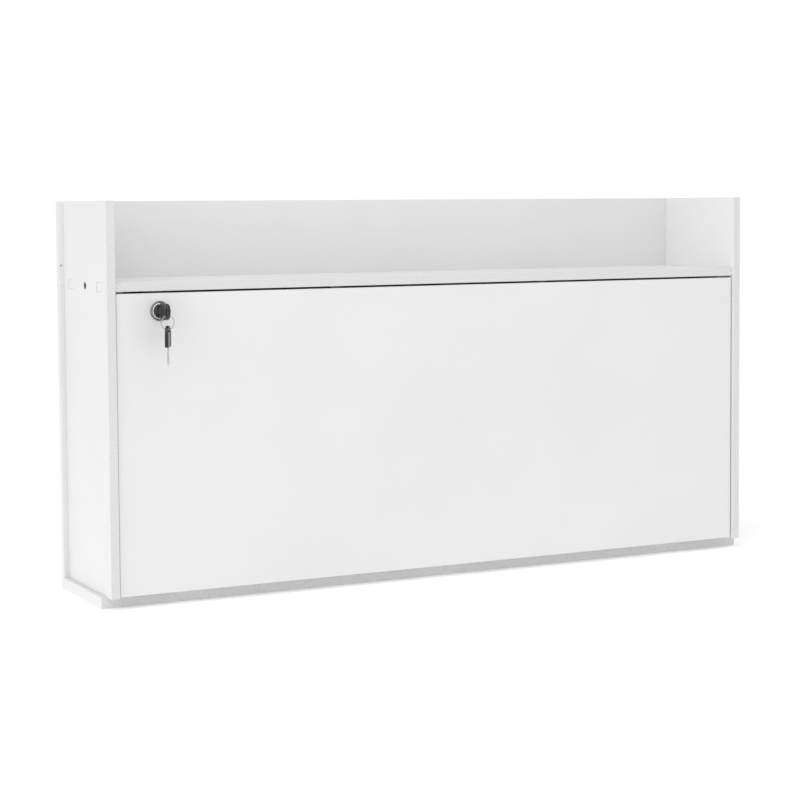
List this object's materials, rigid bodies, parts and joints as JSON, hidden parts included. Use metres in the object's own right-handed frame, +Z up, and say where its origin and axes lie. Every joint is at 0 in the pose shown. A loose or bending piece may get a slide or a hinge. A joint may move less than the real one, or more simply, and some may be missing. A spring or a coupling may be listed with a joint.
{
  "type": "secretary desk",
  "caption": "Wall-hung drop-front writing desk in white laminated board, with an open gallery on top, a locking flap on stays and pigeonholes behind it.",
  "frame": {"origin": "middle of the underside of the base board: halfway between the ends, and halfway between the front edges of the sides and the wall", "axes": "+X to the right of someone facing the front, +Y towards the wall, +Z up"},
  "size_m": [0.8, 0.1786, 0.42],
  "materials": {
    "board_white": "white laminated board, satin",
    "bolt_black": "black oxide",
    "screw_zinc": "zinc plated",
    "dowel_beech": "plain beech",
    "hinge_steel": "nickel plated",
    "stay_steel": "zinc plated",
    "rod_steel": "polished steel",
    "guide_plastic": "moulded nylon",
    "stop_plastic": "moulded, white",
    "lock_chrome": "bright plated zinc casting",
    "lock_plug_metal": "plated brass",
    "key_metal": "nickel plated",
    "key_plastic": "moulded, black",
    "ring_wire": "plated spring wire"
  },
  "bodies": {
    "cabinet": {"side_left": "board_white", "side_right": "board_white", "back_upper": "board_white", "back_lower": "board_white", "base_board": "board_white", "gallery_shelf": "board_white", "divider_left": "board_white", "divider_right": "board_white", "inner_shelf": "board_white", "shelf_bolts": "bolt_black", "base_screws": "screw_zinc", "back_screws": "screw_zinc", "divider_dowels": "dowel_beech", "inner_shelf_screws": "screw_zinc", "hinge_base_leaf_left": "hinge_steel", "hinge_base_leaf_middle": "hinge_steel", "hinge_base_leaf_right": "hinge_steel", "hinge_pins": "hinge_steel", "hinge_screws_base": "screw_zinc", "stay_stud_plate_left": "stay_steel", "stay_stud_plate_right": "stay_steel", "stay_screws_side": "screw_zinc", "flap_stops": "stop_plastic", "stop_screws": "screw_zinc", "strike_plate": "stay_steel", "strike_screws": "screw_zinc"},
    "flap": {"flap": "board_white", "hinge_flap_leaf_left": "hinge_steel", "hinge_flap_leaf_middle": "hinge_steel", "hinge_flap_leaf_right": "hinge_steel", "hinge_screws_flap": "screw_zinc", "stay_flap_bracket_left": "stay_steel", "stay_flap_bracket_right": "stay_steel", "stay_pins": "stay_steel", "stay_screws_flap": "screw_zinc", "lock_barrel": "lock_chrome", "lock_nut": "lock_chrome"},
    "lock": {"lock_plug": "lock_plug_metal", "lock_cam": "stay_steel", "cam_screw": "screw_zinc"},
    "key": {"key_blade": "key_metal", "key_head": "key_plastic"},
    "ring": {"key_ring": "ring_wire"},
    "spare_key": {"spare_key_blade": "key_metal", "spare_key_head": "key_plastic"},
    "guide_left": {"stay_guide_left": "guide_plastic"},
    "guide_right": {"stay_guide_right": "guide_plastic"},
    "rod_left": {"stay_rod_left": "rod_steel"},
    "rod_right": {"stay_rod_right": "rod_steel"}
  },
  "joints": [
    {"name": "flap_open", "type": "hinge", "parent": "cabinet", "child": "flap", "pos_m": [0, -0.06, 0.0145], "axis": [1, 0, 0], "range_deg": [0, 90]},
    {"name": "lock_turn", "type": "hinge", "parent": "flap", "child": "lock", "pos_m": [-0.337, -0.06, 0.3064], "axis": [0, 1, 0], "range_deg": [0, 90]},
    {"name": "key_slide", "type": "slide", "parent": "lock", "child": "key", "axis": [0, -1, 0], "range_m": [0, 0.013]},
    {"name": "ring_swing", "type": "hinge", "parent": "key", "child": "ring", "pos_m": [-0.337, -0.0954, 0.30315], "axis": [1, 0, 0], "range_deg": [-90, 0]},
    {"name": "spare_key_swing", "type": "hinge", "parent": "ring", "child": "spare_key", "pos_m": [-0.337, -0.0954, 0.2954], "axis": [0, 1, 0], "range_deg": [-90, 0]},
    {"name": "stay_guide_turn_left", "type": "hinge", "parent": "cabinet", "child": "guide_left", "pos_m": [-0.376, -0.03379, 0.07071], "axis": [1, 0, 0], "range_deg": [0, 45]},
    {"name": "stay_rod_turn_left", "type": "hinge", "parent": "flap", "child": "rod_left", "pos_m": [-0.376, -0.05459, 0.07628], "axis": [1, 0, 0], "range_deg": [-45, 0]},
    {"name": "stay_guide_turn_right", "type": "hinge", "parent": "cabinet", "child": "guide_right", "pos_m": [0.376, -0.03379, 0.07071], "axis": [1, 0, 0], "range_deg": [0, 45]},
    {"name": "stay_rod_turn_right", "type": "hinge", "parent": "flap", "child": "rod_right", "pos_m": [0.376, -0.05459, 0.07628], "axis": [1, 0, 0], "range_deg": [-45, 0]}
  ],
  "couplings": [
    {"joint": "ring_swing", "follows": "flap_open", "ratio": -1},
    {"joint": "spare_key_swing", "follows": "lock_turn", "ratio": -1},
    {"joint": "stay_guide_turn_left", "follows": "flap_open", "ratio": 0.5},
    {"joint": "stay_rod_turn_left", "follows": "flap_open", "ratio": -0.5},
    {"joint": "stay_guide_turn_right", "follows": "flap_open", "ratio": 0.5},
    {"joint": "stay_rod_turn_right", "follows": "flap_open", "ratio": -0.5}
  ]
}
